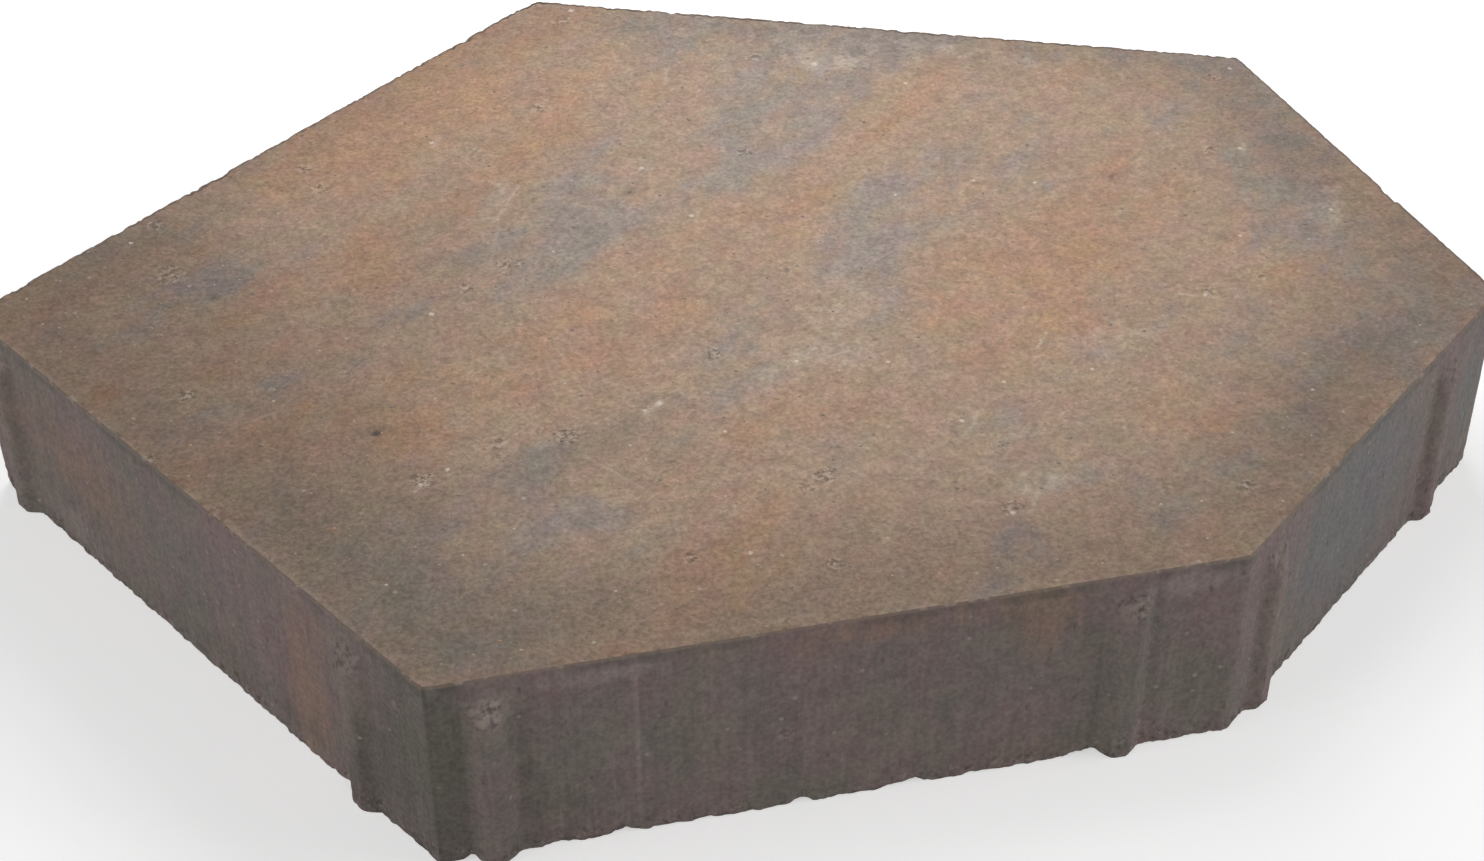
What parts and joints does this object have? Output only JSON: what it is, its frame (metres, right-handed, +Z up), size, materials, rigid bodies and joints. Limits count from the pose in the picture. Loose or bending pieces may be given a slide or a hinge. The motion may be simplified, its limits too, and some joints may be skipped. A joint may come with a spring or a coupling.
{
  "type": "concrete paving slab",
  "caption": "Six-sided concrete paving slab that covers a floor with copies of itself, with spacer ribs cast on its sides; sharp-edged, laid flat.",
  "frame": {"origin": "on the underside, at the middle of the bounding box", "axes": "+Z up out of the walking face, +X along the front side from the front left corner to the front right corner, +Y to the back"},
  "size_m": [0.556, 0.4256, 0.08],
  "materials": {
    "concrete": "fine-grained cast concrete, mottled brown and grey, matt"
  },
  "bodies": {
    "root": {"paving_slab": "concrete"}
  },
  "joints": []
}
